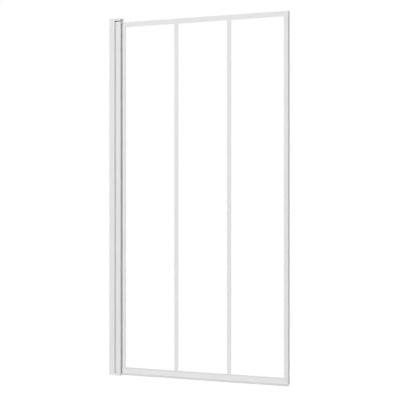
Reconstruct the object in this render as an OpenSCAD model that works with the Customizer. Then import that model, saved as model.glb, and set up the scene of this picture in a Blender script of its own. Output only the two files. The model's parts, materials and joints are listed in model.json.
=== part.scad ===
// Framed pivot bath screen.
// A wall channel holds a pivot post, and the post carries one swinging leaf.
// The leaf has an aluminium frame and three clear panes between two slim glazing bars.
// X runs from the wall to the free edge, Y from the room side to the bath side,
// and Z goes up from the rim of the bath.

/* [Overall] */
// Width from the wall to the free edge of the leaf
screen_w = 750; // [600:1:900]
// Height from the bath rim to the top of the upper cap
screen_h = 1400; // [1300:1:1600]

/* [Wall channel] */
// Reach of the channel from the wall
channel_w = 24; // [22:1:30]
// Depth of the channel across its two sides
channel_d = 32; // [31:1:40]
// Wall thickness of the channel
channel_wall = 2; // [1.6:0.1:2.2]
// Radius of the holes for the wall screws
wall_hole_r = 2.75; // [2:0.25:3.5]
// Distance from one wall screw hole to the next
wall_hole_pitch = 600; // [400:10:620]
// Number of wall screw holes
wall_hole_count = 3; // [2:1:3]

/* [Pivot post] */
// Width of the post face that shows beside the channel
post_face_w = 24; // [20:1:30]
// Depth of the post
post_d = 24; // [22:1:25]
// Wall thickness of the post
post_wall = 1.6; // [1.4:0.1:2]
// Length of the post that sits inside the channel
post_tail = 16; // [14:1:18]
// Distance by which the post stops short of the upper cap
post_top_gap = 3; // [0.5:0.5:6]
// Width of each guide rib on the tail of the post
rib_w = 2; // [1.5:0.1:2.5]
// Distance of the outer guide ribs from the edge of the channel
rib_back = 4; // [2:0.5:5]
// Clearance between the guide ribs and the channel
rib_gap = 0.3; // [0.2:0.05:0.5]

/* [Fixing of the post] */
// Number of screws that hold the post in the channel
post_screw_count = 3; // [2:1:4]
// Distance from the ends of the channel to the outer screws
post_screw_inset = 120; // [80:5:200]
// Shank radius of these screws
post_screw_r = 1.9; // [1.6:0.1:2.1]
// Head radius of these screws
post_head_r = 3.6; // [3.2:0.1:3.8]
// Head height of these screws
post_head_h = 2.2; // [1.8:0.1:2.6]
// Length of these screws under the head
post_screw_len = 10; // [8:0.5:12]
// Outer radius of the snap caps over the heads
snap_cap_r = 5.2; // [5:0.1:6]
// Wall thickness of the snap caps
snap_cap_wall = 1; // [0.8:0.1:1.2]

/* [End caps of the wall side] */
// Height of the upper cap
top_cap_h = 9; // [8:0.5:12]
// Gap between the lower cap, which stands on the bath rim, and the leaf above it
cap_leaf_gap = 0.5; // [0.4:0.1:1]
// Overhang of the caps past the channel and the post
cap_lip = 0.5; // [0.3:0.1:0.5]
// Wall thickness of the caps
cap_wall = 2; // [1.6:0.1:2.4]
// Radius of the upright corners of the caps
cap_corner_r = 1.5; // [1:0.25:3]
// Radius of the outer level edges of the caps
cap_edge_r = 0.5; // [0.25:0.25:1.75]
// Depth of the cap plugs inside the channel
cap_plug_h = 8; // [5:0.5:12]
// Length of the cap plugs from the back of the channel
cap_plug_l = 5; // [3:0.5:5.5]

/* [Leaf] */
// Gap between the post and the leaf
leaf_gap = 3.5; // [3.5:0.25:5]
// Thickness of the stiles, the top rail and the bars
leaf_t = 16.5; // [14:0.5:17]
// Face width of the stiles
frame_face = 17; // [17:0.5:20]
// Face height of the top rail
top_rail_h = 19; // [18:0.5:24]
// Height of the bottom of the leaf above the bath rim
leaf_z0 = 10.5; // [10:0.5:14]
// Distance from the top of the leaf to the top of the upper cap
leaf_drop = 16; // [14:0.5:20]
// Depth of the glazing slot, measured from the front lip
slot_depth = 5.5; // [5:0.25:5.75]
// Distance by which the rear lip is shorter than the front lip
rear_lip_back = 3.75; // [3.5:0.25:4]
// Thickness of the lips over the glass
lip_t = 1.2; // [1:0.1:1.5]
// Wall thickness of the hollow frame profiles
frame_wall = 1.5; // [1.2:0.1:1.6]
// Radius of the upright corners on the hinge edge
hinge_edge_r = 7; // [6.5:0.25:7.25]
// Radius of the rear edge of the hinge stile beside the glass
rear_edge_r = 4; // [3:0.25:4.25]
// Radius of the small softened edges
soft_r = 0.6; // [0.3:0.1:0.8]

/* [Bottom rail] */
// Height of the bottom rail
bottom_rail_h = 22.5; // [21:0.5:24]
// Thickness of the bottom rail
bottom_rail_t = 20; // [18:0.5:20]
// Height of the upright part of its face, below the curved shoulder
bottom_face_h = 15; // [12:0.5:16]
// Depth of the groove for the drip seal
groove_depth = 5; // [4:0.25:5.5]
// Width of the groove for the drip seal
groove_w = 3.2; // [3:0.1:3.6]

/* [Glass] */
// Thickness of the panes
glass_t = 4; // [3:0.5:4]
// Thickness of the glazing gaskets
gasket_t = 0.8; // [0.6:0.05:0.9]
// Distance by which the gaskets stay back from the edges of the front lips
gasket_back = 1; // [0.5:0.1:1.5]
// Number of panes in the leaf
pane_count = 3; // [3:1:3]

/* [Glazing bars] */
// Face width of the glazing bars
bar_face = 16.5; // [16:0.5:20]
// Thickness of the web between two panes
bar_web = 5; // [4.5:0.25:6]
// Radius of the dowels at the ends of the bars
dowel_r = 1.5; // [1.2:0.1:1.6]
// Length of each dowel
dowel_len = 14; // [10:0.5:18]
// Length of each dowel that stands inside the rail
dowel_in_rail = 4; // [3:0.5:5]

/* [Pivots] */
// Distance from the hinge edge of the leaf to the pivot axis
pivot_in = 7; // [7:0.25:7.25]
// Radius of the steel pivot pins
pin_r = 2.5; // [2.2:0.1:2.7]
// Radial running clearance of the pins in their blocks
pin_gap = 0.05; // [0.03:0.01:0.08]
// Length of each pin inside the leaf
pin_in_leaf = 22; // [18:1:26]
// Radius of the round bore in the hinge stile
stile_bore_r = 3.7; // [3.5:0.05:3.8]
// Thickness of the bracket arms
arm_t = 3; // [2.5:0.25:3.5]
// Width of the bracket arms
arm_w = 10; // [9:0.5:11]
// Thickness of the washers between the arms and the leaf
washer_t = 1.2; // [0.8:0.1:1.4]
// Running gap between a washer and the leaf
washer_gap = 0.3; // [0.2:0.05:0.4]
// Length of the bracket blocks inside the post
bracket_len = 22; // [20:1:30]
// Distance between the two screws of a bracket
bracket_screw_pitch = 9; // [8:0.5:12]
// Clearance round parts that slide into a hollow profile
slip = 0.15; // [0.1:0.05:0.25]

/* [Corner pieces and small screws] */
// Length of the corner legs along the rails
key_rail_leg = 30; // [26:1:45]
// Length of the corner legs along the stiles, from the outer edge of the leaf
key_stile_leg = 42; // [40:1:60]
// Shank radius of the small screws
small_screw_r = 1.5; // [1.2:0.1:1.6]
// Head radius of the small screws
small_head_r = 2.8; // [2.4:0.1:3]
// Head height of the small screws
small_head_h = 1.2; // [0.8:0.1:1.2]
// Length of the small screws
small_screw_len = 6; // [5:0.5:7]
// Distance from the ends of a rail to its corner screws
rail_screw_in = 18; // [16:1:22]
// Thickness of the end plates on the rails
end_plate_t = 1.5; // [1:0.1:2]
// Depth of the spigots on the end plates
end_spigot = 1.5; // [1:0.1:2]

/* [Seals] */
// Height of the lower edge of the drip seal above the bath rim
seal_z0 = 1.5; // [1:0.25:4]
// Thickness of the drip seal at its root
seal_t = 2.8; // [2.4:0.1:2.9]
// Thickness of the drip seal at its lower edge
seal_tip_t = 1.6; // [1.2:0.1:2.2]
// Reach of the post seal into the gap beside the leaf
post_seal_reach = 1.5; // [1:0.1:1.5]
// Width of the post seal
post_seal_w = 7; // [5:0.5:9]
// Distance by which the post seal stops short at both ends
post_seal_back = 1; // [0.5:0.25:3]
// Width of the slot that holds the post seal
post_slot_w = 2.6; // [2:0.1:3]
// Thickness of the head of the post seal inside the post
seal_head_t = 1.4; // [1:0.1:1.6]
// Width of the front of the post seal
post_seal_front = 4.2; // [3:0.2:5]

/* [Hidden] */
$fn = 48;

// A cutter runs this far past the face that it opens
cut = 1;
// Clearance of a screw in the hole that it bites into
thread_gap = 0.05;
// Clearance of a screw in the hole that it passes through
screw_gap = 0.2;
// Clearance of a pivot pin in the bracket arm that holds it
press_gap = 0.02;
// Clearance of a pivot pin in the wall that it only passes through
pin_hole_gap = 0.4;
// Clearance of a corner piece at the ends of its hollow
key_gap = 0.2;
// Share of a head's radius that the flat top of a pan head takes up
head_top = 0.8;
// Cross recess of a head, as shares of its radius and height
recess_reach = 0.5;
recess_slot = 0.25;
recess_depth = 0.5;

bottom_cap_h = leaf_z0 - cap_leaf_gap;
profile_z0 = bottom_cap_h;
profile_z1 = screen_h - top_cap_h;
post_z1 = profile_z1 - post_top_gap;
post_x0 = channel_w - post_tail;
post_x1 = channel_w + post_face_w;
post_web_x = channel_w;

leaf_x0 = post_x1 + leaf_gap;
leaf_x1 = screen_w;
leaf_z1 = screen_h - leaf_drop;
rail_x1 = leaf_x1 - end_plate_t;
front_y = -leaf_t / 2;
rear_y = leaf_t / 2;
box_u = frame_face - slot_depth;
rear_lip_u = frame_face - rear_lip_back;
top_box_u = top_rail_h - slot_depth;
bottom_box_u = bottom_rail_h - slot_depth;
shoulder_h = bottom_rail_h - bottom_face_h;
shoulder_in = (bottom_rail_t - leaf_t) / 2;
shoulder_r = (shoulder_h ^ 2 + shoulder_in ^ 2) / (2 * shoulder_in);
slot_y0 = front_y + lip_t;
glass_y0 = slot_y0 + gasket_t;
glass_y1 = glass_y0 + glass_t;
slot_y1 = glass_y1 + gasket_t;
slot_z0 = leaf_z0 + bottom_box_u;
slot_z1 = leaf_z1 - top_box_u;

pivot_x = leaf_x0 + pivot_in;
opening_x0 = leaf_x0 + frame_face;
opening_x1 = leaf_x1 - frame_face;
bar_pitch = (opening_x1 - opening_x0) / pane_count;
slot_x0 = leaf_x0 + box_u;
slot_x1 = leaf_x1 - box_u;

// The upper arm lies in a notch of the top rail, flush with its top
arm_top_z0 = leaf_z1 - arm_t;
notch_z0 = arm_top_z0 - washer_t - washer_gap;
arm_bottom_z1 = leaf_z0 - washer_gap - washer_t;
arm_bottom_z0 = arm_bottom_z1 - arm_t;
arm_end_r = arm_w / 2;
notch_x1 = pivot_x + arm_end_r + 2 * slip;

post_chamber_x0 = post_web_x + post_wall;
post_chamber_x1 = post_x1 - post_wall;
post_chamber_y = post_d / 2 - post_wall;
block_x0 = post_chamber_x0 + slip;
block_x1 = post_chamber_x1 - seal_head_t - slip;
block_y = post_chamber_y - slip;
bracket_screw_x = (block_x0 + block_x1) / 2;
bracket_screw_z = [for (z = [profile_z0 + bracket_len / 2, arm_top_z0 - bracket_len / 2])
    for (side = [-1, 1]) z + side * bracket_screw_pitch / 2];

post_screw_x = channel_w - post_tail / 2;
post_screw_z0 = profile_z0 + post_screw_inset;
post_screw_pitch = (profile_z1 - profile_z0 - 2 * post_screw_inset) / (post_screw_count - 1);

groove_top = leaf_z0 + groove_depth;
bottom_chamber_z0 = groove_top + frame_wall;
bottom_chamber_z1 = slot_z0 - frame_wall;
bottom_chamber_y = bottom_rail_t / 2 - frame_wall;
top_chamber_z0 = slot_z1 + frame_wall;
top_chamber_z1 = leaf_z1 - frame_wall;
frame_chamber_y = leaf_t / 2 - frame_wall;
hinge_inner_r = hinge_edge_r - frame_wall;
key_x1 = rail_x1 - end_spigot - key_gap;
key_x0 = leaf_x1 - key_rail_leg;
key_leg_x0 = slot_x1 + frame_wall + key_gap;

// The screws through the stiles stand past the ends of the pivot pins
key_screw_in = (pin_in_leaf + key_stile_leg) / 2;
key_screw_x = (key_leg_x0 + key_x1) / 2;
stile_screw_z = [leaf_z0 + key_screw_in, leaf_z1 - key_screw_in];
rail_screw_x = [leaf_x0 + rail_screw_in, leaf_x1 - rail_screw_in];
top_screw_z = (top_chamber_z0 + notch_z0) / 2;
bottom_screw_z = (bottom_chamber_z0 + bottom_chamber_z1) / 2;

// The web of a bar has a round port along its whole length for the dowels
bar_port_y = (slot_y0 + slot_y1) / 2;
bar_rear_face = bar_face - 2 * rear_lip_back;

// A gasket's front leg is hidden by the longer lip
gasket_front_leg = slot_depth - gasket_back;
gasket_rear_leg = slot_depth - rear_lip_back;

paint = "whitesmoke";
steel = "silver";
plastic = "gainsboro";
clear = [0.82, 0.92, 0.94, 0.35];
rubber = "lightgray";

// Wall screw holes lie on one upright line about the middle of the screen
function wall_hole_z(i) = screen_h / 2 + (i - (wall_hole_count - 1) / 2) * wall_hole_pitch;
function post_screw_z(i) = post_screw_z0 + i * post_screw_pitch;
function bar_x(i) = opening_x0 + i * bar_pitch;
function pane_x0(i) = (i == 1 ? slot_x0 : bar_x(i - 1) + bar_web / 2) + gasket_t;
function pane_x1(i) = (i == pane_count ? slot_x1 : bar_x(i) - bar_web / 2) - gasket_t;

// Number of short steps in a rounded corner of an outline
arc_steps = 4;
// Number of short steps in the curved shoulder of the bottom rail
shoulder_steps = 6;
// Angle of each step in the rounded level edges of the caps
cap_edge_step = 22.5;

// An outline of [x, y, r] points whose corners are rounded by arcs of radius r
function unit(v) = v / norm(v);
function flat(p) = [p[0], p[1]];
function corner(a, p, b, r) =
    let (u = unit(a - p), v = unit(b - p))
    let (half = acos(max(-1, min(1, u * v))) / 2)
    let (back = r / tan(half), centre = p + unit(u + v) * r / sin(half))
    let (from = p + u * back - centre, to = p + v * back - centre)
    [for (i = [0:arc_steps]) centre + unit(from * (arc_steps - i) + to * i) * r];
function softened(pts) =
    let (n = len(pts))
    [for (i = [0:n - 1])
        each (pts[i][2] == 0
            ? [flat(pts[i])]
            : corner(flat(pts[(i + n - 1) % n]), flat(pts[i]), flat(pts[(i + 1) % n]), pts[i][2]))];

module outline(pts) {
    polygon(softened(pts));
}

// Lays an outline drawn in depth and height along X, from x0 to x1
module along_x(x0, x1) {
    translate([x0, 0, 0])
        rotate([90, 0, 90])
            linear_extrude(height = x1 - x0) children();
}

// Stands an outline drawn in X and depth up along Z, from z0 to z1
module along_z(z0, z1) {
    translate([0, 0, z0])
        linear_extrude(height = z1 - z0) children();
}

module block(x0, x1, y0, y1, z0, z1) {
    translate([x0, y0, z0]) cube([x1 - x0, y1 - y0, z1 - z0]);
}

module rod_z(x, y, z0, z1, r) {
    translate([x, y, z0]) cylinder(h = z1 - z0, r = r);
}

module rod_y(x, y0, y1, z, r) {
    translate([x, y0, z]) rotate([-90, 0, 0]) cylinder(h = y1 - y0, r = r);
}

// Cross recess in a screw head whose top is at z = 0
module cross_recess(head_r, head_h) {
    reach = head_r * recess_reach;
    slot = head_r * recess_slot;
    depth = head_h * recess_depth;
    for (a = [0, 90])
        rotate([0, 0, a])
            translate([-reach, -slot / 2, -depth]) cube([2 * reach, slot, depth + cut]);
}

// Pan head screw that points along -Y, with its head seated at y
module pan_screw(x, y, z, shank_r, length, head_r, head_h) {
    translate([x, y, z])
        rotate([-90, 0, 0])
            difference() {
                union() {
                    cylinder(h = head_h, r1 = head_r, r2 = head_r * head_top);
                    translate([0, 0, -length]) cylinder(h = length, r = shank_r);
                }
                translate([0, 0, head_h]) cross_recess(head_r, head_h);
            }
}

// Countersunk screw that points along -Y, with its head flush at y
module flush_screw(x, y, z) {
    translate([x, y, z])
        rotate([-90, 0, 0])
            difference() {
                union() {
                    translate([0, 0, -small_head_h])
                        cylinder(h = small_head_h, r1 = small_screw_r, r2 = small_head_r);
                    translate([0, 0, -small_screw_len])
                        cylinder(h = small_screw_len - small_head_h, r = small_screw_r);
                }
                cross_recess(small_head_r, small_head_h);
            }
}

// Hole with a countersink for that screw
module flush_hole(x, y, z) {
    shank_r = small_screw_r + thread_gap;
    seat_r = small_head_r + thread_gap;
    seat_h = small_head_h + thread_gap;
    translate([x, y, z])
        rotate([-90, 0, 0]) {
            translate([0, 0, -small_screw_len - slip])
                cylinder(h = small_screw_len + slip, r = shank_r);
            translate([0, 0, -seat_h]) cylinder(h = seat_h, r1 = shank_r, r2 = seat_r);
            cylinder(h = cut, r = seat_r);
        }
}

module wall_channel() {
    half = channel_d / 2;
    inner = half - channel_wall;
    color(paint)
        difference() {
            along_z(profile_z0, profile_z1)
                outline([[0, -half, 0], [channel_w, -half, soft_r], [channel_w, -inner, soft_r],
                    [channel_wall, -inner, soft_r], [channel_wall, inner, soft_r],
                    [channel_w, inner, soft_r], [channel_w, half, soft_r], [0, half, 0]]);
            for (i = [0:wall_hole_count - 1])
                translate([-cut, 0, wall_hole_z(i)])
                    rotate([0, 90, 0]) cylinder(h = channel_wall + 2 * cut, r = wall_hole_r);
            for (i = [0:post_screw_count - 1])
                rod_y(post_screw_x, inner - cut, half + cut, post_screw_z(i), post_screw_r + screw_gap);
        }
}

module post_outline() {
    half = post_d / 2;
    outline([[post_x0, -half, soft_r], [post_x1, -half, soft_r],
        [post_x1, half, soft_r], [post_x0, half, soft_r]]);
}

module pivot_post() {
    half = post_d / 2;
    rib_y = channel_d / 2 - channel_wall - rib_gap;
    color(paint)
        difference() {
            union() {
                along_z(profile_z0, post_z1) post_outline();
                for (x = [post_x0 + rib_w, channel_w - rib_back - rib_w])
                    block(x, x + rib_w, -rib_y, rib_y, profile_z0, post_z1);
            }
            block(post_x0 + post_wall, post_web_x, -post_chamber_y, post_chamber_y,
                profile_z0 - cut, post_z1 + cut);
            block(post_chamber_x0, post_chamber_x1, -post_chamber_y, post_chamber_y,
                profile_z0 - cut, post_z1 + cut);
            block(post_chamber_x1 - cut, post_x1 + cut, -post_slot_w / 2, post_slot_w / 2,
                profile_z0 - cut, post_z1 + cut);
            // Notch in the end wall for the upper bracket arm
            block(post_chamber_x1 - cut, post_x1 + cut, -arm_w / 2 - slip, arm_w / 2 + slip,
                arm_top_z0 - slip, post_z1 + cut);
            for (i = [0:post_screw_count - 1])
                rod_y(post_screw_x, half - post_wall - cut, rib_y + cut, post_screw_z(i),
                    post_screw_r + thread_gap);
            for (z = bracket_screw_z)
                rod_y(bracket_screw_x, half - post_wall - cut, half + cut, z,
                    small_screw_r + screw_gap);
        }
}

module post_screws() {
    color(steel)
        for (i = [0:post_screw_count - 1])
            pan_screw(post_screw_x, channel_d / 2, post_screw_z(i),
                post_screw_r, post_screw_len, post_head_r, post_head_h);
}

// Plastic snap caps that hide the heads on the bath side
module post_screw_caps() {
    cap_h = post_head_h + slip + snap_cap_wall;
    color(plastic)
        for (i = [0:post_screw_count - 1])
            translate([post_screw_x, channel_d / 2, post_screw_z(i)])
                rotate([-90, 0, 0])
                    difference() {
                        cylinder(h = cap_h, r1 = snap_cap_r, r2 = snap_cap_r - snap_cap_wall / 2);
                        translate([0, 0, -cut])
                            cylinder(h = cap_h - snap_cap_wall + cut, r = post_head_r + slip);
                    }
}

// Outline of a cap in plan, grown by the given amount. It is deep over the channel, and
// tapers to the depth of the post at its free end.
module cap_plan(grow) {
    deep = channel_d / 2 + grow;
    slim = post_d / 2 + grow;
    end_x = post_x1 + grow;
    r = max(cap_corner_r + grow - cap_lip, soft_r);
    outline([[0, -deep, 0], [channel_w, -deep, 0], [end_x, -slim, r], [end_x, slim, r],
        [channel_w, deep, 0], [0, deep, 0]]);
}

// One cap: a tray with an open face at z = 0, its top at z = height, and a plug below
module cap_shell(height) {
    inner = channel_d / 2 - channel_wall - slip;
    plug_x0 = channel_wall + slip;
    hollow_x1 = post_x1 + cap_lip - cap_wall;
    difference() {
        union() {
            hull()
                for (a = [0:cap_edge_step:90])
                    along_z(0, height - cap_edge_r * (1 - sin(a)))
                        cap_plan(cap_lip - cap_edge_r * (1 - cos(a)));
            along_z(-cap_plug_h, cut)
                outline([[plug_x0, -inner, soft_r], [plug_x0 + cap_plug_l, -inner, 0],
                    [plug_x0 + cap_plug_l, inner, 0], [plug_x0, inner, soft_r]]);
        }
        along_z(-cut, height - cap_wall)
            outline([[channel_w, -post_chamber_y, soft_r], [hollow_x1, -post_chamber_y, soft_r],
                [hollow_x1, post_chamber_y, soft_r], [channel_w, post_chamber_y, soft_r]]);
    }
}

module top_cap() {
    color(plastic)
        translate([0, 0, profile_z1]) cap_shell(top_cap_h);
}

// The lower cap is the same tray upside down, notched for the bracket arm
module bottom_cap() {
    color(plastic)
        difference() {
            translate([0, 0, profile_z0]) mirror([0, 0, 1]) cap_shell(bottom_cap_h);
            block(post_x1 - cap_wall - cut, post_x1 + cap_lip + cut, -arm_w / 2 - slip,
                arm_w / 2 + slip, arm_bottom_z0 - slip, profile_z0 + cut);
        }
}

module bracket(block_z0, block_z1, arm_z0) {
    difference() {
        union() {
            block(block_x0, block_x1, -block_y, block_y, block_z0, block_z1);
            block(block_x1 - cut, pivot_x, -arm_w / 2, arm_w / 2, arm_z0, arm_z0 + arm_t);
            rod_z(pivot_x, 0, arm_z0, arm_z0 + arm_t, arm_end_r);
        }
        rod_z(pivot_x, 0, arm_z0 - cut, arm_z0 + arm_t + cut, pin_r + press_gap);
        for (z = bracket_screw_z)
            rod_y(bracket_screw_x, post_d / 2 - small_screw_len - slip, block_y + cut, z,
                small_screw_r + thread_gap);
    }
}

module top_pivot_bracket() {
    color(steel)
        bracket(arm_top_z0 - bracket_len, arm_top_z0 + arm_t, arm_top_z0);
}

module bottom_pivot_bracket() {
    color(steel)
        bracket(arm_bottom_z0, profile_z0 + bracket_len + arm_t, arm_bottom_z0);
}

module top_pivot_pin() {
    color(steel)
        rod_z(pivot_x, 0, leaf_z1 - pin_in_leaf, arm_top_z0 + arm_t, pin_r);
}

module bottom_pivot_pin() {
    color(steel)
        rod_z(pivot_x, 0, arm_bottom_z0, leaf_z0 + pin_in_leaf, pin_r);
}

module washer(z0) {
    difference() {
        rod_z(pivot_x, 0, z0, z0 + washer_t, arm_end_r);
        rod_z(pivot_x, 0, z0 - cut, z0 + washer_t + cut, pin_r + screw_gap);
    }
}

module top_pivot_washer() {
    color(plastic) washer(arm_top_z0 - washer_t);
}

module bottom_pivot_washer() {
    color(plastic) washer(arm_bottom_z1);
}

module bracket_screws() {
    color(steel)
        for (z = bracket_screw_z)
            pan_screw(bracket_screw_x, post_d / 2, z, small_screw_r, small_screw_len,
                small_head_r, small_head_h);
}

// Soft strip in the slot of the post, with a head inside and a round lip outside
module post_seal() {
    lip_x = post_x1 + post_seal_reach;
    half = post_seal_w / 2;
    front = post_seal_front / 2;
    head_x = post_chamber_x1 - seal_head_t;
    slot = post_slot_w / 2 - slip;
    color(rubber)
        along_z(leaf_z0 + bottom_rail_h + post_seal_back, arm_top_z0 - post_seal_back)
            outline([[head_x, -half, 0], [post_chamber_x1, -half, 0], [post_chamber_x1, -slot, 0],
                [post_x1, -slot, 0], [post_x1, -half, 0], [lip_x, -front, soft_r],
                [lip_x, front, soft_r], [post_x1, half, 0], [post_x1, slot, 0],
                [post_chamber_x1, slot, 0], [post_chamber_x1, half, 0], [head_x, half, 0]]);
}

// Section of the top rail in depth and height, with its outer edge at z = 0
module top_rail_section(r) {
    outline([[front_y, 0, r], [front_y, -top_rail_h, r], [slot_y0, -top_rail_h, 0],
        [slot_y0, -top_box_u, 0], [rear_y, -top_box_u, r], [rear_y, 0, r]]);
}

// Points of the front shoulder of the bottom rail, from its top down. It is an arc that
// runs smoothly into the upright face.
function shoulder() =
    [for (i = [shoulder_steps:-1:0])
        let (rise = shoulder_h * i / shoulder_steps)
        [shoulder_r - bottom_rail_t / 2 - sqrt(shoulder_r ^ 2 - rise ^ 2), bottom_face_h + rise, 0]];

// Section of the bottom rail, with its lower edge at z = 0 and a curved front shoulder
module bottom_rail_section(r) {
    half = bottom_rail_t / 2;
    outline([[-half, 0, r], [half, 0, r], [half, bottom_box_u, r],
        [slot_y0, bottom_box_u, 0], [slot_y0, bottom_rail_h, 0], each shoulder()]);
}

// Section of a rear lip on the box of a rail, whose slot face is at z = 0; its root is inside
module rear_lip_section(r) {
    lip_h = slot_depth - rear_lip_back;
    outline([[slot_y1, -lip_t, 0], [slot_y1 + lip_t, -lip_t, 0], [slot_y1 + lip_t, lip_h, r],
        [slot_y1, lip_h, 0]]);
}

// The solid form of each rail; its rear lip fills only the length between the stiles
module top_rail_form(x0, x1, r) {
    translate([0, 0, leaf_z1]) along_x(x0, x1) top_rail_section(r);
    translate([0, 0, slot_z1]) mirror([0, 0, 1]) along_x(slot_x0, slot_x1) rear_lip_section(r);
}

module bottom_rail_form(x0, x1, r) {
    translate([0, 0, leaf_z0]) along_x(x0, x1) bottom_rail_section(r);
    translate([0, 0, slot_z0]) along_x(slot_x0, slot_x1) rear_lip_section(r);
}

// Plan of a rail whose hinge end has rounded corners
module rail_plan(thickness, x1) {
    half = thickness / 2;
    outline([[leaf_x0, -half, hinge_edge_r], [x1, -half, 0], [x1, half, 0],
        [leaf_x0, half, hinge_edge_r]]);
}

// Everything that the rails and their end plates take up, for cutting the uprights to fit
module rail_envelope() {
    top_rail_form(leaf_x0 - cut, leaf_x1 + cut, 0);
    bottom_rail_form(leaf_x0 - cut, leaf_x1 + cut, 0);
    block(rail_x1, leaf_x1 + cut, -leaf_t, leaf_t, leaf_z1 - top_rail_h, leaf_z1 + cut);
    block(rail_x1, leaf_x1 + cut, -leaf_t, leaf_t, leaf_z0 - cut, leaf_z0 + bottom_rail_h);
}

// Section of a stile in plan, drawn with its outer edge at x = 0
module stile_section(outer_r, rear_r) {
    outline([[0, front_y, outer_r], [frame_face, front_y, soft_r], [frame_face, slot_y0, 0],
        [box_u, slot_y0, 0], [box_u, slot_y1, 0], [rear_lip_u, slot_y1, 0],
        [rear_lip_u, slot_y1 + lip_t, soft_r], [box_u, slot_y1 + lip_t, 0],
        [box_u, rear_y, rear_r], [0, rear_y, outer_r]]);
}

module hinge_stile() {
    color(paint)
        difference() {
            along_z(slot_z0, slot_z1)
                translate([leaf_x0, 0]) stile_section(hinge_edge_r, rear_edge_r);
            rail_envelope();
            rod_z(pivot_x, 0, slot_z0 - cut, slot_z1 + cut, stile_bore_r);
            for (z = stile_screw_z) flush_hole(pivot_x, rear_y, z);
        }
}

module closing_stile() {
    color(paint)
        difference() {
            along_z(slot_z0, slot_z1)
                translate([leaf_x1, 0]) mirror([1, 0]) stile_section(soft_r, soft_r);
            rail_envelope();
            block(slot_x1 + frame_wall, leaf_x1 - frame_wall, -frame_chamber_y,
                frame_chamber_y, slot_z0 - cut, slot_z1 + cut);
            for (z = stile_screw_z) flush_hole(key_screw_x, rear_y, z);
        }
}

module top_rail() {
    color(paint)
        difference() {
            intersection() {
                top_rail_form(leaf_x0, rail_x1, soft_r);
                along_z(leaf_z1 - top_rail_h, leaf_z1) rail_plan(leaf_t, rail_x1);
            }
            block(leaf_x0 - cut, rail_x1 + cut, -frame_chamber_y, frame_chamber_y,
                top_chamber_z0, top_chamber_z1);
            block(leaf_x0 - cut, notch_x1, -leaf_t, leaf_t, notch_z0, leaf_z1 + cut);
            rod_z(pivot_x, 0, slot_z1 - cut, top_chamber_z0 + cut, stile_bore_r);
            block(key_leg_x0 - key_gap, key_x1 + key_gap, -frame_chamber_y, frame_chamber_y,
                slot_z1 - cut, top_chamber_z0 + cut);
            for (i = [1:pane_count - 1])
                rod_z(bar_x(i), bar_port_y, slot_z1 - cut, top_chamber_z0 + cut,
                    dowel_r + thread_gap);
            for (x = rail_screw_x) flush_hole(x, rear_y, top_screw_z);
        }
}

module bottom_rail() {
    pocket_y0 = groove_w / 2 + frame_wall;
    half = bottom_rail_t / 2;
    color(paint)
        difference() {
            intersection() {
                bottom_rail_form(leaf_x0, rail_x1, soft_r);
                along_z(leaf_z0, leaf_z0 + bottom_rail_h) rail_plan(bottom_rail_t, rail_x1);
            }
            block(leaf_x0 - cut, rail_x1 + cut, -bottom_chamber_y, bottom_chamber_y,
                bottom_chamber_z0, bottom_chamber_z1);
            block(leaf_x0 - cut, rail_x1 + cut, -groove_w / 2, groove_w / 2,
                leaf_z0 - cut, groove_top);
            for (side = [-1, 1])
                translate([0, side * (pocket_y0 + bottom_chamber_y) / 2, 0])
                    block(leaf_x0 - cut, rail_x1 + cut, -(bottom_chamber_y - pocket_y0) / 2,
                        (bottom_chamber_y - pocket_y0) / 2, leaf_z0 + frame_wall, groove_top);
            rod_z(pivot_x, 0, leaf_z0 - cut, bottom_chamber_z0 + cut, pin_r + pin_hole_gap);
            rod_z(pivot_x, 0, bottom_chamber_z1 - cut, slot_z0 + cut, stile_bore_r);
            block(key_leg_x0 - key_gap, key_x1 + key_gap, -frame_chamber_y, frame_chamber_y,
                bottom_chamber_z1 - cut, slot_z0 + cut);
            for (i = [1:pane_count - 1])
                rod_z(bar_x(i), bar_port_y, bottom_chamber_z1 - cut, slot_z0 + cut,
                    dowel_r + thread_gap);
            for (x = rail_screw_x) flush_hole(x, half, bottom_screw_z);
        }
}

module glazing_bar(i) {
    half = bar_face / 2;
    web = bar_web / 2;
    rear = bar_rear_face / 2;
    color(paint)
        difference() {
            translate([bar_x(i), 0])
                along_z(slot_z0, slot_z1)
                    outline([[-half, front_y, soft_r], [half, front_y, soft_r], [half, slot_y0, 0],
                        [web, slot_y0, 0], [web, slot_y1, 0], [rear, slot_y1, 0],
                        [rear, slot_y1 + lip_t, soft_r], [-rear, slot_y1 + lip_t, soft_r],
                        [-rear, slot_y1, 0], [-web, slot_y1, 0], [-web, slot_y0, 0],
                        [-half, slot_y0, 0]]);
            rail_envelope();
            rod_z(bar_x(i), bar_port_y, slot_z0 - cut, slot_z1 + cut, dowel_r + thread_gap);
        }
}

module glazing_bar_1() {
    glazing_bar(1);
}

module glazing_bar_2() {
    glazing_bar(2);
}

module pane(i) {
    color(clear)
        block(pane_x0(i), pane_x1(i), glass_y0, glass_y1, slot_z0 + gasket_t, slot_z1 - gasket_t);
}

module pane_1() {
    pane(1);
}

module pane_2() {
    pane(2);
}

module pane_3() {
    pane(3);
}

// Channel gasket round one edge of a pane
module gasket_section() {
    outline([[0, slot_y0, 0], [gasket_front_leg, slot_y0, 0], [gasket_front_leg, glass_y0, 0],
        [gasket_t, glass_y0, 0], [gasket_t, glass_y1, 0], [gasket_rear_leg, glass_y1, 0],
        [gasket_rear_leg, slot_y1, 0], [0, slot_y1, 0]]);
}

module upright_gaskets() {
    color(rubber)
        for (i = [1:pane_count])
            along_z(slot_z0, slot_z1) {
                translate([pane_x0(i) - gasket_t, 0]) gasket_section();
                translate([pane_x1(i) + gasket_t, 0]) mirror([1, 0]) gasket_section();
            }
}

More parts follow.
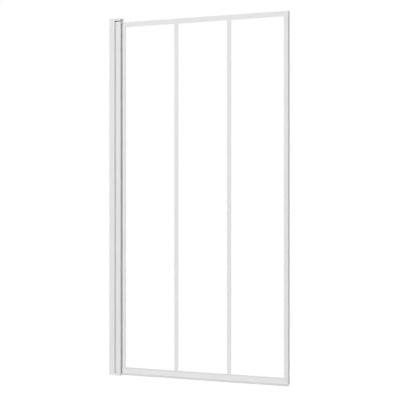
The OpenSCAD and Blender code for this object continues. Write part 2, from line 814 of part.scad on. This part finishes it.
// Gaskets along the top or bottom edges fill the length between the upright ones
module level_gasket(i, z, flip) {
    x0 = pane_x0(i) - gasket_t + gasket_front_leg;
    x1 = pane_x1(i) + gasket_t - gasket_front_leg;
    translate([x0, 0, z])
        mirror([0, 0, flip])
            rotate([0, -90, 0])
                mirror([0, 0, 1])
                    linear_extrude(height = x1 - x0) gasket_section();
}

module top_gaskets() {
    color(rubber)
        for (i = [1:pane_count]) level_gasket(i, slot_z1, 1);
}

module bottom_gaskets() {
    color(rubber)
        for (i = [1:pane_count]) level_gasket(i, slot_z0, 0);
}

// Corner piece that joins a rail to the hinge stile and holds the bearing for the pin
module pivot_block(z0, z1, half_y, leg_z0, leg_z1, bore_z0, bore_z1) {
    difference() {
        union() {
            along_z(z0, z1)
                outline([[leaf_x0 + key_gap, -half_y, hinge_inner_r],
                    [leaf_x0 + key_rail_leg, -half_y, 0], [leaf_x0 + key_rail_leg, half_y, 0],
                    [leaf_x0 + key_gap, half_y, hinge_inner_r]]);
            rod_z(pivot_x, 0, leg_z0, leg_z1, stile_bore_r - thread_gap);
        }
        rod_z(pivot_x, 0, bore_z0, bore_z1, pin_r + pin_gap);
        for (z = stile_screw_z) flush_hole(pivot_x, rear_y, z);
        for (z = [top_screw_z, bottom_screw_z])
            flush_hole(leaf_x0 + rail_screw_in, half_y + frame_wall, z);
    }
}

module top_pivot_block() {
    color(plastic)
        pivot_block(top_chamber_z0 + slip, notch_z0, frame_chamber_y - slip,
            leaf_z1 - key_stile_leg, notch_z0,
            leaf_z1 - pin_in_leaf - cut, notch_z0 + cut);
}

module bottom_pivot_block() {
    color(plastic)
        pivot_block(bottom_chamber_z0 + slip, bottom_chamber_z1 - slip, bottom_chamber_y - slip,
            bottom_chamber_z0 + slip, leaf_z0 + key_stile_leg,
            leaf_z0, leaf_z0 + pin_in_leaf + cut);
}

// Plain corner piece that joins a rail to the closing stile
module corner_key(z0, z1, half_y, leg_z0, leg_z1) {
    leg_y = frame_chamber_y - slip;
    difference() {
        union() {
            block(key_x0, key_x1, -half_y, half_y, z0, z1);
            block(key_leg_x0, key_x1, -leg_y, leg_y, leg_z0, leg_z1);
        }
        for (z = stile_screw_z) flush_hole(key_screw_x, rear_y, z);
        for (z = [top_screw_z, bottom_screw_z])
            flush_hole(leaf_x1 - rail_screw_in, half_y + frame_wall, z);
    }
}

module top_corner_key() {
    color(plastic)
        corner_key(top_chamber_z0 + slip, top_chamber_z1 - slip, frame_chamber_y - slip,
            leaf_z1 - key_stile_leg, top_chamber_z1 - slip);
}

module bottom_corner_key() {
    color(plastic)
        corner_key(bottom_chamber_z0 + slip, bottom_chamber_z1 - slip, bottom_chamber_y - slip,
            bottom_chamber_z0 + slip, leaf_z0 + key_stile_leg);
}

module corner_screws() {
    color(steel) {
        for (x = [pivot_x, key_screw_x], z = stile_screw_z) flush_screw(x, rear_y, z);
        for (x = rail_screw_x) {
            flush_screw(x, rear_y, top_screw_z);
            flush_screw(x, bottom_rail_t / 2, bottom_screw_z);
        }
    }
}

module bar_dowels() {
    color(steel)
        for (i = [1:pane_count - 1]) {
            rod_z(bar_x(i), bar_port_y, slot_z1 + dowel_in_rail - dowel_len,
                slot_z1 + dowel_in_rail, dowel_r);
            rod_z(bar_x(i), bar_port_y, slot_z0 - dowel_in_rail,
                slot_z0 - dowel_in_rail + dowel_len, dowel_r);
        }
}

// Plate that closes the free end of a rail, with a spigot in its hollow
module top_end_plate() {
    color(plastic) {
        block(rail_x1, leaf_x1, front_y, rear_y, leaf_z1 - top_rail_h, leaf_z1);
        block(rail_x1 - end_spigot, rail_x1, -frame_chamber_y + slip, frame_chamber_y - slip,
            top_chamber_z0 + slip, top_chamber_z1 - slip);
    }
}

module bottom_end_plate() {
    half = bottom_rail_t / 2;
    spigot_y = bottom_chamber_y - slip;
    color(plastic) {
        translate([0, 0, leaf_z0])
            along_x(rail_x1, leaf_x1)
                outline([[-half, 0, soft_r], [half, 0, soft_r], [half, bottom_box_u, soft_r],
                    [rear_y, bottom_box_u, 0], [rear_y, bottom_rail_h, 0], each shoulder()]);
        block(rail_x1 - end_spigot, rail_x1, -spigot_y, spigot_y,
            bottom_chamber_z0 + slip, bottom_chamber_z1 - slip);
    }
}

// Soft blade under the bottom rail; its hinge end is notched to pass under the bracket arm
module drip_seal() {
    root = seal_t / 2;
    tip = seal_tip_t / 2;
    fit = groove_w / 2 - slip;
    color(rubber)
        difference() {
            along_x(leaf_x0 + pivot_in / 2, leaf_x1 - soft_r)
                outline([[-fit, groove_top - slip, 0], [-fit, leaf_z0, 0], [-root, leaf_z0, 0],
                    [-tip, seal_z0, soft_r], [tip, seal_z0, soft_r], [root, leaf_z0, 0],
                    [fit, leaf_z0, 0], [fit, groove_top - slip, 0]]);
            block(leaf_x0 - cut, notch_x1, -seal_t, seal_t,
                arm_bottom_z0 - 2 * slip, groove_top + cut);
            block(rail_x1 - slip, leaf_x1 + cut, -seal_t, seal_t, leaf_z0, groove_top + cut);
        }
}

wall_channel();
pivot_post();
post_screws();
post_screw_caps();
top_cap();
bottom_cap();
top_pivot_bracket();
bottom_pivot_bracket();
top_pivot_pin();
bottom_pivot_pin();
top_pivot_washer();
bottom_pivot_washer();
bracket_screws();
post_seal();
hinge_stile();
closing_stile();
top_rail();
bottom_rail();
glazing_bar_1();
glazing_bar_2();
pane_1();
pane_2();
pane_3();
upright_gaskets();
top_gaskets();
bottom_gaskets();
top_pivot_block();
bottom_pivot_block();
top_corner_key();
bottom_corner_key();
corner_screws();
bar_dowels();
top_end_plate();
bottom_end_plate();
drip_seal();
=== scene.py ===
# Looks of the framed pivot bath screen: materials, floor, light and camera.
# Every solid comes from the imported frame, in metres, with X from the wall to the
# free edge, Y from the room side to the bath side and Z up from the bath rim.
import json
import math

import bpy
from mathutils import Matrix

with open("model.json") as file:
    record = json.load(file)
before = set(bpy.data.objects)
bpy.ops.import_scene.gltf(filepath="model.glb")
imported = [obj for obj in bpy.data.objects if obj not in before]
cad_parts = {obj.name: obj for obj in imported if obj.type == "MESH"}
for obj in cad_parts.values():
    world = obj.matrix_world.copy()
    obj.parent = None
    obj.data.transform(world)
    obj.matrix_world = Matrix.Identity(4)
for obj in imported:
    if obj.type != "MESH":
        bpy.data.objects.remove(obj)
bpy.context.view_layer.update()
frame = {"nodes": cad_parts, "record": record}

# Camera: the photograph is square and taken level, from the free side of the leaf
PHOTO_PX = 400
SENSOR_MM = 36.0
VIEW_TURN_DEG = 25.44
FOCAL_PX = 1222.75
CAMERA_PLACE = (2.3884, -4.2065, 0.6883)

# Colours, linear
COAT_WHITE = (0.86, 0.86, 0.86)
PLASTIC_WHITE = (0.85, 0.85, 0.85)
NYLON_WHITE = (0.80, 0.79, 0.75)
STEEL_GREY = (0.62, 0.62, 0.62)
GASKET_GREY = (0.72, 0.72, 0.72)
SEAL_GREY = (0.60, 0.60, 0.60)
DRIP_WHITE = (0.67, 0.68, 0.68)
GLASS_TINT = (0.993, 0.998, 0.996)
FLOOR_PALE = (0.80, 0.80, 0.80)
WHITE = (1, 1, 1, 1)

# Surfaces: waves per metre of the noise, and the band that most of its values lie in
BROAD_WAVES = 9.0
FILM_WAVES = 14.0
FINE_DETAIL = 3.0
NOISE_BAND = (0.3, 0.7)

# Glass: its refraction, and the range of roughness that the film on it gives
GLASS_IOR = 1.5
FILM_ROUGHNESS = (0.0, 0.012)

# Light: strengths of the soft world and of the lamps
WORLD_LEVEL = 0.30
LAMP_SOFTNESS_DEG = 20.0
FRONT_LAMP = {"level": 0.55, "from_left_deg": 6, "from_above_deg": 5}
LEFT_LAMP = {"level": 0.88, "from_left_deg": 45, "from_above_deg": 5}

# Floor: its glow lights the object, its own share is the part of its look that shows
# shadow, and its white fills the rest; sizes in metres
FLOOR_GLOW = 0.45
FLOOR_OWN_SHARE = 0.12
FLOOR_WHITE = 1.10
FLOOR_SIZE = 40.0
FLOOR_DROP = 0.0004

# Spacing of the nodes in the editor
NODE_STEP = 220


class Tree:
    """A node tree that is built from top to bottom, with its nodes in one row."""

    def __init__(self, owner):
        owner.use_nodes = True
        self.tree = owner.node_tree
        self.tree.nodes.clear()

    def add(self, kind, **settings):
        node = self.tree.nodes.new(kind)
        node.location.x = NODE_STEP * len(self.tree.nodes)
        for name, value in settings.items():
            setattr(node, name, value)
        return node

    def link(self, source, target):
        self.tree.links.new(source, target)

    def end(self, kind, surface_output):
        """Closes the tree with its output node."""
        out = self.add(kind)
        self.link(surface_output, out.inputs["Surface"])


def noise(tree, place, scale, detail=2.0):
    """Noise in the object's own metres, scale in waves per metre."""
    node = tree.add("ShaderNodeTexNoise")
    node.inputs["Scale"].default_value = scale
    node.inputs["Detail"].default_value = detail
    tree.link(place, node.inputs["Vector"])
    return node.outputs["Fac"]


def spread(tree, value, low, high):
    """Maps a noise value from its usual middle band to a range."""
    node = tree.add("ShaderNodeMapRange")
    node.inputs["From Min"].default_value = NOISE_BAND[0]
    node.inputs["From Max"].default_value = NOISE_BAND[1]
    node.inputs["To Min"].default_value = low
    node.inputs["To Max"].default_value = high
    tree.link(value, node.inputs["Value"])
    return node.outputs["Result"]


def tinted(tree, value, colour, depth):
    """The colour, darkened by up to depth where the value is low."""
    ramp = tree.add("ShaderNodeMix", data_type="RGBA")
    dark = [c * (1 - depth) for c in colour]
    ramp.inputs["A"].default_value = (*dark, 1)
    ramp.inputs["B"].default_value = (*colour, 1)
    tree.link(value, ramp.inputs["Factor"])
    return ramp.outputs["Result"]


def bumped(tree, height, distance, strength):
    """Fine relief of the surface, its distance in metres."""
    node = tree.add("ShaderNodeBump")
    node.inputs["Distance"].default_value = distance
    node.inputs["Strength"].default_value = strength
    tree.link(height, node.inputs["Height"])
    return node.outputs["Normal"]


def blend(tree, factor, first, second):
    """A mix of two shaders: the first where the factor is 0, the second where it is 1."""
    mixed = tree.add("ShaderNodeMixShader")
    tree.link(factor, mixed.inputs["Fac"])
    tree.link(first, mixed.inputs[1])
    tree.link(second, mixed.inputs[2])
    return mixed.outputs["Shader"]


def surface(name, colour, roughness, grain, tone_depth, bump, metallic=0.0, stretch=None):
    """A material whose tone, roughness and grain vary softly over the surface."""
    material = bpy.data.materials.new(name)
    tree = Tree(material)
    place = tree.add("ShaderNodeTexCoord").outputs["Object"]
    if stretch:
        mapping = tree.add("ShaderNodeMapping")
        mapping.inputs["Scale"].default_value = stretch
        tree.link(place, mapping.inputs["Vector"])
        place = mapping.outputs["Vector"]
    shader = tree.add("ShaderNodeBsdfPrincipled")
    shader.inputs["Metallic"].default_value = metallic
    broad = spread(tree, noise(tree, place, BROAD_WAVES), 0.0, 1.0)
    fine = noise(tree, place, grain, FINE_DETAIL)
    tree.link(tinted(tree, broad, colour, tone_depth), shader.inputs["Base Color"])
    tree.link(spread(tree, fine, *roughness), shader.inputs["Roughness"])
    tree.link(bumped(tree, fine, *bump), shader.inputs["Normal"])
    tree.end("ShaderNodeOutputMaterial", shader.outputs["BSDF"])
    return material


def powder_coat():
    """Satin powder coat with its faint orange peel."""
    return surface("powder_coat", COAT_WHITE, (0.42, 0.50), 620.0, 0.02, (0.00008, 0.25))


def bracket_coat():
    """The same coat on steel, a little rougher."""
    return surface("bracket_coat", COAT_WHITE, (0.42, 0.55), 520.0, 0.03, (0.00010, 0.3))


def moulded_white():
    """Satin moulded plastic of the caps and end plates."""
    return surface("moulded_white", PLASTIC_WHITE, (0.38, 0.46), 900.0, 0.02, (0.00005, 0.2))


def moulded_nylon():
    """Nylon of the washers, the bearings and the corner pieces."""
    return surface("moulded_nylon", NYLON_WHITE, (0.45, 0.60), 700.0, 0.05, (0.00010, 0.3))


def stainless():
    """Turned or drawn steel, with fine lines along X."""
    return surface("stainless", STEEL_GREY, (0.24, 0.42), 1400.0, 0.08, (0.00004, 0.3),
                   metallic=1.0, stretch=(0.08, 1, 1))


def soft_rubber(name, colour):
    """Dull soft rubber of a gasket or seal."""
    return surface(name, colour, (0.55, 0.72), 480.0, 0.05, (0.00010, 0.35))


def clear_glass():
    """Clear float glass that lets lamp light through, with a faint film on it."""
    material = bpy.data.materials.new("clear_glass")
    tree = Tree(material)
    place = tree.add("ShaderNodeTexCoord").outputs["Object"]
    film = spread(tree, noise(tree, place, FILM_WAVES), *FILM_ROUGHNESS)
    shader = tree.add("ShaderNodeBsdfPrincipled")
    shader.inputs["Base Color"].default_value = (*GLASS_TINT, 1)
    shader.inputs["Transmission Weight"].default_value = 1.0
    shader.inputs["IOR"].default_value = GLASS_IOR
    tree.link(film, shader.inputs["Roughness"])
    passing = tree.add("ShaderNodeBsdfTransparent")
    passing.inputs["Color"].default_value = (*GLASS_TINT, 1)
    shadow_ray = tree.add("ShaderNodeLightPath").outputs["Is Shadow Ray"]
    mixed = blend(tree, shadow_ray, shader.outputs["BSDF"], passing.outputs["BSDF"])
    tree.end("ShaderNodeOutputMaterial", mixed)
    return material


def seen_or_mirrored(tree):
    """1 for rays from the camera and for rays mirrored or passed on by a surface."""
    path = tree.add("ShaderNodeLightPath")
    total = path.outputs["Is Camera Ray"]
    for name in ("Is Glossy Ray", "Is Transmission Ray"):
        step = tree.add("ShaderNodeMath", operation="MAXIMUM")
        tree.link(total, step.inputs[0])
        tree.link(path.outputs[name], step.inputs[1])
        total = step.outputs["Value"]
    return total


def dress():
    """Gives every CAD node the material of its slot in the record."""
    made = {
        "white_frame": powder_coat(),
        "white_bracket": bracket_coat(),
        "white_plastic": moulded_white(),
        "steel": stainless(),
        "nylon": moulded_nylon(),
        "glass": clear_glass(),
        "gasket": soft_rubber("gasket_rubber", GASKET_GREY),
        "soft_seal": soft_rubber("seal_rubber", SEAL_GREY),
        "drip_seal": soft_rubber("drip_rubber", DRIP_WHITE),
    }
    for row in frame["record"]["subparts"]:
        piece = frame["nodes"][row["node"]]
        piece.data.materials.clear()
        piece.data.materials.append(made[row["material_slot"]])


def make_world():
    """White to the camera, and a weak soft light on the object."""
    world = bpy.data.worlds.new("studio")
    bpy.context.scene.world = world
    tree = Tree(world)
    light = tree.add("ShaderNodeBackground")
    light.inputs["Color"].default_value = WHITE
    light.inputs["Strength"].default_value = WORLD_LEVEL
    white = tree.add("ShaderNodeBackground")
    white.inputs["Color"].default_value = WHITE
    white.inputs["Strength"].default_value = 1.0
    mixed = blend(tree, seen_or_mirrored(tree), light.outputs["Background"],
                  white.outputs["Background"])
    tree.end("ShaderNodeOutputWorld", mixed)


def floor_material():
    """Nearly white where it is seen, with a soft shadow, and glowing where it is not."""
    material = bpy.data.materials.new("floor_pale")
    tree = Tree(material)
    matte = tree.add("ShaderNodeBsdfDiffuse")
    matte.inputs["Color"].default_value = (*FLOOR_PALE, 1)
    white = tree.add("ShaderNodeEmission")
    white.inputs["Strength"].default_value = FLOOR_WHITE
    seen = seen_or_mirrored(tree)
    share = tree.add("ShaderNodeMath", operation="MULTIPLY")
    share.inputs[1].default_value = 1 - FLOOR_OWN_SHARE
    tree.link(seen, share.inputs[0])
    look = blend(tree, share.outputs["Value"], matte.outputs["BSDF"], white.outputs["Emission"])
    level = tree.add("ShaderNodeMapRange")
    level.inputs["To Min"].default_value = FLOOR_GLOW
    level.inputs["To Max"].default_value = 0.0
    tree.link(seen, level.inputs["Value"])
    glow = tree.add("ShaderNodeEmission")
    tree.link(level.outputs["Result"], glow.inputs["Strength"])
    total = tree.add("ShaderNodeAddShader")
    tree.link(look, total.inputs[0])
    tree.link(glow.outputs["Emission"], total.inputs[1])
    tree.end("ShaderNodeOutputMaterial", total.outputs["Shader"])
    return material


def make_floor():
    """A square floor just under the level of the bath rim."""
    half = FLOOR_SIZE / 2
    corners = [(-half, -half), (half, -half), (half, half), (-half, half)]
    mesh = bpy.data.meshes.new("floor")
    mesh.from_pydata([(x, y, -FLOOR_DROP) for x, y in corners], [], [(0, 1, 2, 3)])
    floor = bpy.data.objects.new("floor", mesh)
    bpy.context.scene.collection.objects.link(floor)
    mesh.materials.append(floor_material())


def make_lamp(name, level, from_left_deg, from_above_deg):
    """One soft lamp from far away, which shines towards the front of the screen."""
    data = bpy.data.lights.new(name, "SUN")
    data.energy = level
    data.angle = math.radians(LAMP_SOFTNESS_DEG)
    lamp = bpy.data.objects.new(name, data)
    lamp.rotation_euler = (math.radians(90 - from_above_deg), 0, -math.radians(from_left_deg))
    bpy.context.scene.collection.objects.link(lamp)


def make_camera():
    """A level camera at the photograph's place, with the photograph's focal length."""
    data = bpy.data.cameras.new("camera")
    data.sensor_width = SENSOR_MM
    data.lens = FOCAL_PX * SENSOR_MM / PHOTO_PX
    camera = bpy.data.objects.new("camera", data)
    camera.location = CAMERA_PLACE
    camera.rotation_euler = (math.radians(90), 0, math.radians(VIEW_TURN_DEG))
    bpy.context.scene.collection.objects.link(camera)
    bpy.context.scene.camera = camera


dress()
make_world()
make_floor()
make_lamp("front_lamp", **FRONT_LAMP)
make_lamp("left_lamp", **LEFT_LAMP)
make_camera()
bpy.context.scene.view_settings.view_transform = "Standard"
